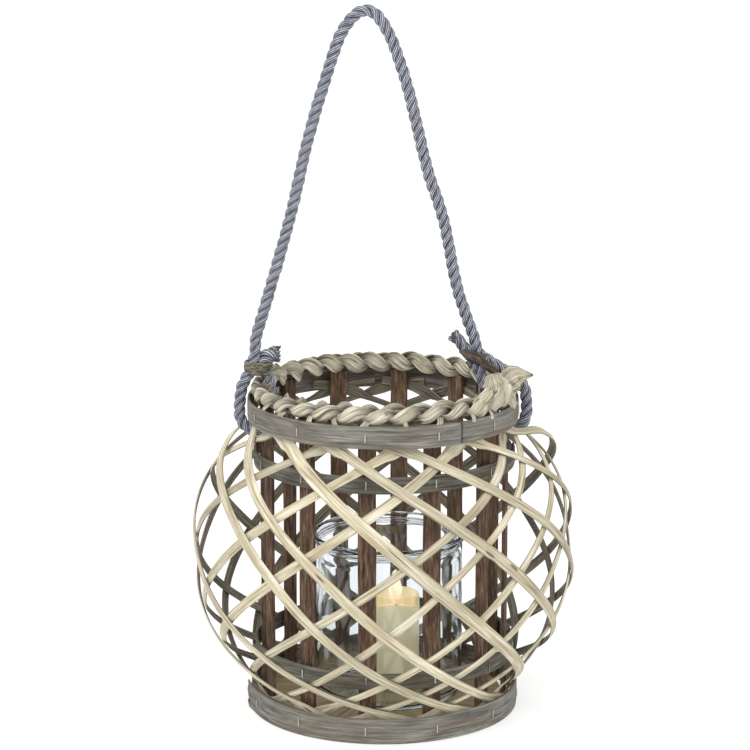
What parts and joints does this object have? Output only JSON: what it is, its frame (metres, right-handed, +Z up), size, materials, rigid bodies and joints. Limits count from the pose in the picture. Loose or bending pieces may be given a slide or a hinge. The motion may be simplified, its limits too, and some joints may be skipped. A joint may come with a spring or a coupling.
{
  "type": "hurricane candle lantern",
  "caption": "Globe-shaped split-willow lantern basket with bent wood bands, braided rim, rope carrying handle, loose glass jar and pillar candle.",
  "frame": {"origin": "centre of the base band's bottom edge, on the surface the lantern stands on", "axes": "+Z up, the front faces -Y, +X is the right-hand side seen from the front; the rope handle lies in the XZ plane"},
  "size_m": [0.3795, 0.3795, 0.702],
  "materials": {
    "chip_wood": "weathered grey chip wood with fine lengthwise grain",
    "board_wood": "plain plywood, matt",
    "slat_wood": "reddish brown bark-on slats, matt",
    "willow_outer": "peeled split willow, satin, streaked cream outside and grey-brown inside",
    "willow_inner": "peeled split willow, satin, streaked cream outside and grey-brown inside",
    "braid": "dry plaited seagrass, matt, fibrous",
    "rope": "silky three-strand laid cord, blue-grey",
    "lashing": "brown rough twine and tape",
    "staple_steel": "bright bent wire",
    "jar_glass": "clear pressed glass with a faint blue-green tint",
    "wax": "cream paraffin wax, translucent, soft sheen",
    "wick": "charred cotton"
  },
  "bodies": {
    "basket": {"base_board": "board_wood", "base_band": "chip_wood", "lower_hoop": "chip_wood", "middle_hoop": "chip_wood", "top_band": "chip_wood", "upright_01": "slat_wood", "upright_02": "slat_wood", "upright_03": "slat_wood", "upright_04": "slat_wood", "upright_05": "slat_wood", "upright_06": "slat_wood", "upright_07": "slat_wood", "upright_08": "slat_wood", "upright_09": "slat_wood", "upright_10": "slat_wood", "upright_11": "slat_wood", "upright_12": "slat_wood", "outer_strip_01": "willow_outer", "outer_strip_02": "willow_outer", "outer_strip_03": "willow_outer", "outer_strip_04": "willow_outer", "outer_strip_05": "willow_outer", "outer_strip_06": "willow_outer", "outer_strip_07": "willow_outer", "outer_strip_08": "willow_outer", "outer_strip_09": "willow_outer", "outer_strip_10": "willow_outer", "outer_strip_11": "willow_outer", "outer_strip_12": "willow_outer", "inner_strip_01": "willow_inner", "inner_strip_02": "willow_inner", "inner_strip_03": "willow_inner", "inner_strip_04": "willow_inner", "inner_strip_05": "willow_inner", "inner_strip_06": "willow_inner", "inner_strip_07": "willow_inner", "inner_strip_08": "willow_inner", "inner_strip_09": "willow_inner", "inner_strip_10": "willow_inner", "inner_strip_11": "willow_inner", "inner_strip_12": "willow_inner", "braid_strand_1": "braid", "braid_strand_2": "braid", "braid_strand_3": "braid", "braid_tail": "braid", "base_staples": "staple_steel", "lower_staples": "staple_steel", "middle_staples": "staple_steel", "top_staples": "staple_steel", "rope_loop_left": "rope", "rope_loop_right": "rope", "binding_left": "lashing", "binding_right": "lashing"},
    "handle": {"rope_handle": "rope"},
    "jar": {"glass_jar": "jar_glass"},
    "candle": {"candle_wax": "wax", "candle_wick": "wick"}
  },
  "joints": [
    {"name": "handle_swing", "type": "hinge", "parent": "basket", "child": "handle", "pos_m": [0, 0, 0.374], "axis": [1, 0, 0], "range_deg": [-100, 100], "stiffness_Nm_per_rad": 0.3},
    {"name": "jar_lift", "type": "slide", "parent": "basket", "child": "jar", "axis": [0, 0, 1], "range_m": [0, 0.16]},
    {"name": "candle_lift", "type": "slide", "parent": "jar", "child": "candle", "axis": [0, 0, 1], "range_m": [0, 0.17]}
  ]
}
